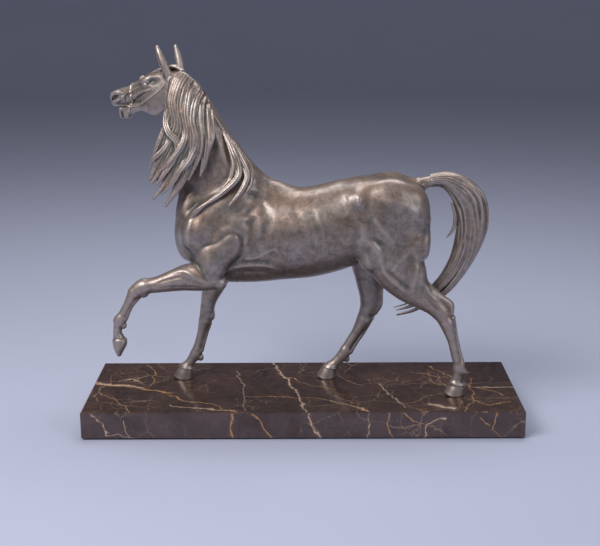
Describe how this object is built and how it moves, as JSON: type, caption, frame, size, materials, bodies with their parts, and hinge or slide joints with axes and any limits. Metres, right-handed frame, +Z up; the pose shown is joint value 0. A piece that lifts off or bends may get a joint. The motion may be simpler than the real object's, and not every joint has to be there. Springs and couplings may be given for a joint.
{
  "type": "bronze horse statue",
  "caption": "Patinated bronze statue of a stepping horse with flowing mane and arched tail, standing on a polished dark marble slab; a decorative figure for a shelf or desk.",
  "frame": {"origin": "middle of the base, at the table under its felt pads", "axes": "+X along the base towards the horse's tail, +Y towards the horse's off (right) side, +Z up"},
  "size_m": [0.42, 0.15, 0.3645],
  "materials": {
    "bronze": "brown-grey satin patina, greener in the recesses",
    "halter_bronze": "patinated, rubbed on the edges",
    "pin_bronze": "turned",
    "marble": "polished, dark brown with cream and orange veins",
    "steel": "zinc plated",
    "felt": "wool felt"
  },
  "bodies": {
    "root": {"torso_casting": "bronze", "neck_casting": "bronze", "head_casting": "bronze", "mane_casting": "bronze", "near_foreleg": "bronze", "off_foreleg": "bronze", "near_hindleg": "bronze", "off_hindleg": "bronze", "tail_casting": "bronze", "belly_core_plug": "bronze", "chest_core_plug": "bronze", "halter": "halter_bronze", "near_foreleg_pin": "pin_bronze", "off_foreleg_pin": "pin_bronze", "near_hindleg_pin": "pin_bronze", "off_hindleg_pin": "pin_bronze", "neck_pin": "pin_bronze", "head_pin": "pin_bronze", "tail_pin": "pin_bronze", "marble_base": "marble", "off_fore_stud": "steel", "near_hind_stud": "steel", "off_hind_stud": "steel", "off_fore_washer": "steel", "near_hind_washer": "steel", "off_hind_washer": "steel", "off_fore_nut": "steel", "near_hind_nut": "steel", "off_hind_nut": "steel", "front_near_pad": "felt", "front_off_pad": "felt", "rear_near_pad": "felt", "rear_off_pad": "felt"}
  },
  "joints": []
}
